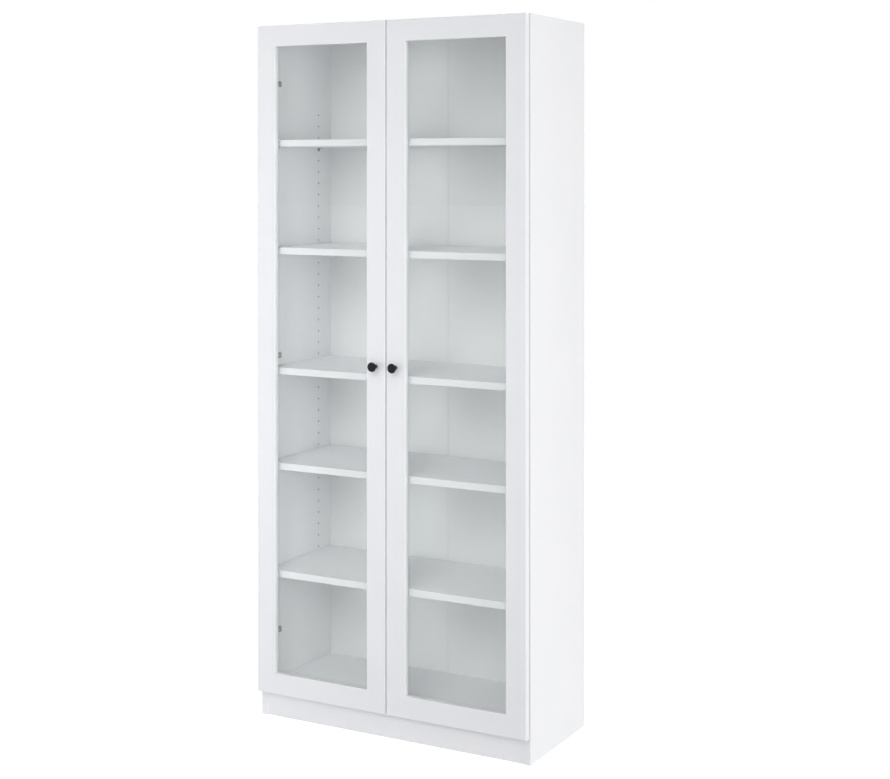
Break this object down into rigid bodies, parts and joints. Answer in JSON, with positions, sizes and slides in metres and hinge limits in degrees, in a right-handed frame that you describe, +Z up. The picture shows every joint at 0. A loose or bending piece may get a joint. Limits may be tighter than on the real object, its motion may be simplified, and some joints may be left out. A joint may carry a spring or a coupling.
{
  "type": "bookcase with glass doors",
  "caption": "Tall free-standing bookcase with framed glass doors over adjustable shelves, on a recessed plinth.",
  "frame": {"origin": "centre of the bounding box on the floor, under the middle of the bookcase", "axes": "+X to the right seen from the front, the doors face -Y, +Z up"},
  "size_m": [0.8, 0.375, 1.85],
  "materials": {
    "white_board": "white melamine on particleboard, satin",
    "back_board": "white lacquered fibreboard, satin",
    "white_lacquer": "white lacquered fibreboard, satin",
    "clear_glass": "clear float glass with a faint green edge",
    "black_lacquer": "black satin",
    "nickel_steel": "nickel plated pressed steel",
    "zinc_steel": "bright zinc plated",
    "cast_zinc": "die-cast zinc",
    "beech": "raw fluted beech",
    "white_plastic": "extruded white plastic",
    "grey_plastic": "moulded grey plastic",
    "clear_rubber": "soft milky polyurethane"
  },
  "bodies": {
    "carcass": {"left_side": "white_board", "right_side": "white_board", "top_panel": "white_board", "bottom_panel": "white_board", "fixed_shelf": "white_board", "adjustable_shelf_1": "white_board", "adjustable_shelf_2": "white_board", "adjustable_shelf_3": "white_board", "adjustable_shelf_4": "white_board", "plinth": "white_board", "back_panel_left": "back_board", "back_panel_right": "back_board", "back_joint_strip": "white_plastic", "back_nails": "zinc_steel", "shelf_supports": "nickel_steel", "cam_locks": "cast_zinc", "cam_bolts": "zinc_steel", "wooden_dowels": "beech", "glides": "grey_plastic", "left_hinge_arms": "nickel_steel", "left_hinge_plates": "nickel_steel", "left_plate_screws": "zinc_steel", "left_arm_screws": "zinc_steel", "right_hinge_arms": "nickel_steel", "right_hinge_plates": "nickel_steel", "right_plate_screws": "zinc_steel", "right_arm_screws": "zinc_steel"},
    "left_door": {"left_hinge_stile": "white_lacquer", "left_meeting_stile": "white_lacquer", "left_top_rail": "white_lacquer", "left_bottom_rail": "white_lacquer", "left_glass": "clear_glass", "left_glazing_beads": "white_plastic", "left_frame_dowels": "beech", "left_knob": "black_lacquer", "left_knob_screw": "zinc_steel", "left_bumpers": "clear_rubber", "left_hinge_cups": "nickel_steel", "left_hinge_pins": "zinc_steel", "left_cup_screws": "zinc_steel"},
    "right_door": {"right_hinge_stile": "white_lacquer", "right_meeting_stile": "white_lacquer", "right_top_rail": "white_lacquer", "right_bottom_rail": "white_lacquer", "right_glass": "clear_glass", "right_glazing_beads": "white_plastic", "right_frame_dowels": "beech", "right_knob": "black_lacquer", "right_knob_screw": "zinc_steel", "right_bumpers": "clear_rubber", "right_hinge_cups": "nickel_steel", "right_hinge_pins": "zinc_steel", "right_cup_screws": "zinc_steel"}
  },
  "joints": [
    {"name": "left_door_hinge", "type": "hinge", "parent": "carcass", "child": "left_door", "pos_m": [-0.3905, -0.1529, 0.963], "axis": [0, 0, -1], "range_deg": [0, 95]},
    {"name": "right_door_hinge", "type": "hinge", "parent": "carcass", "child": "right_door", "pos_m": [0.3905, -0.1529, 0.963], "axis": [0, 0, 1], "range_deg": [0, 95]}
  ]
}
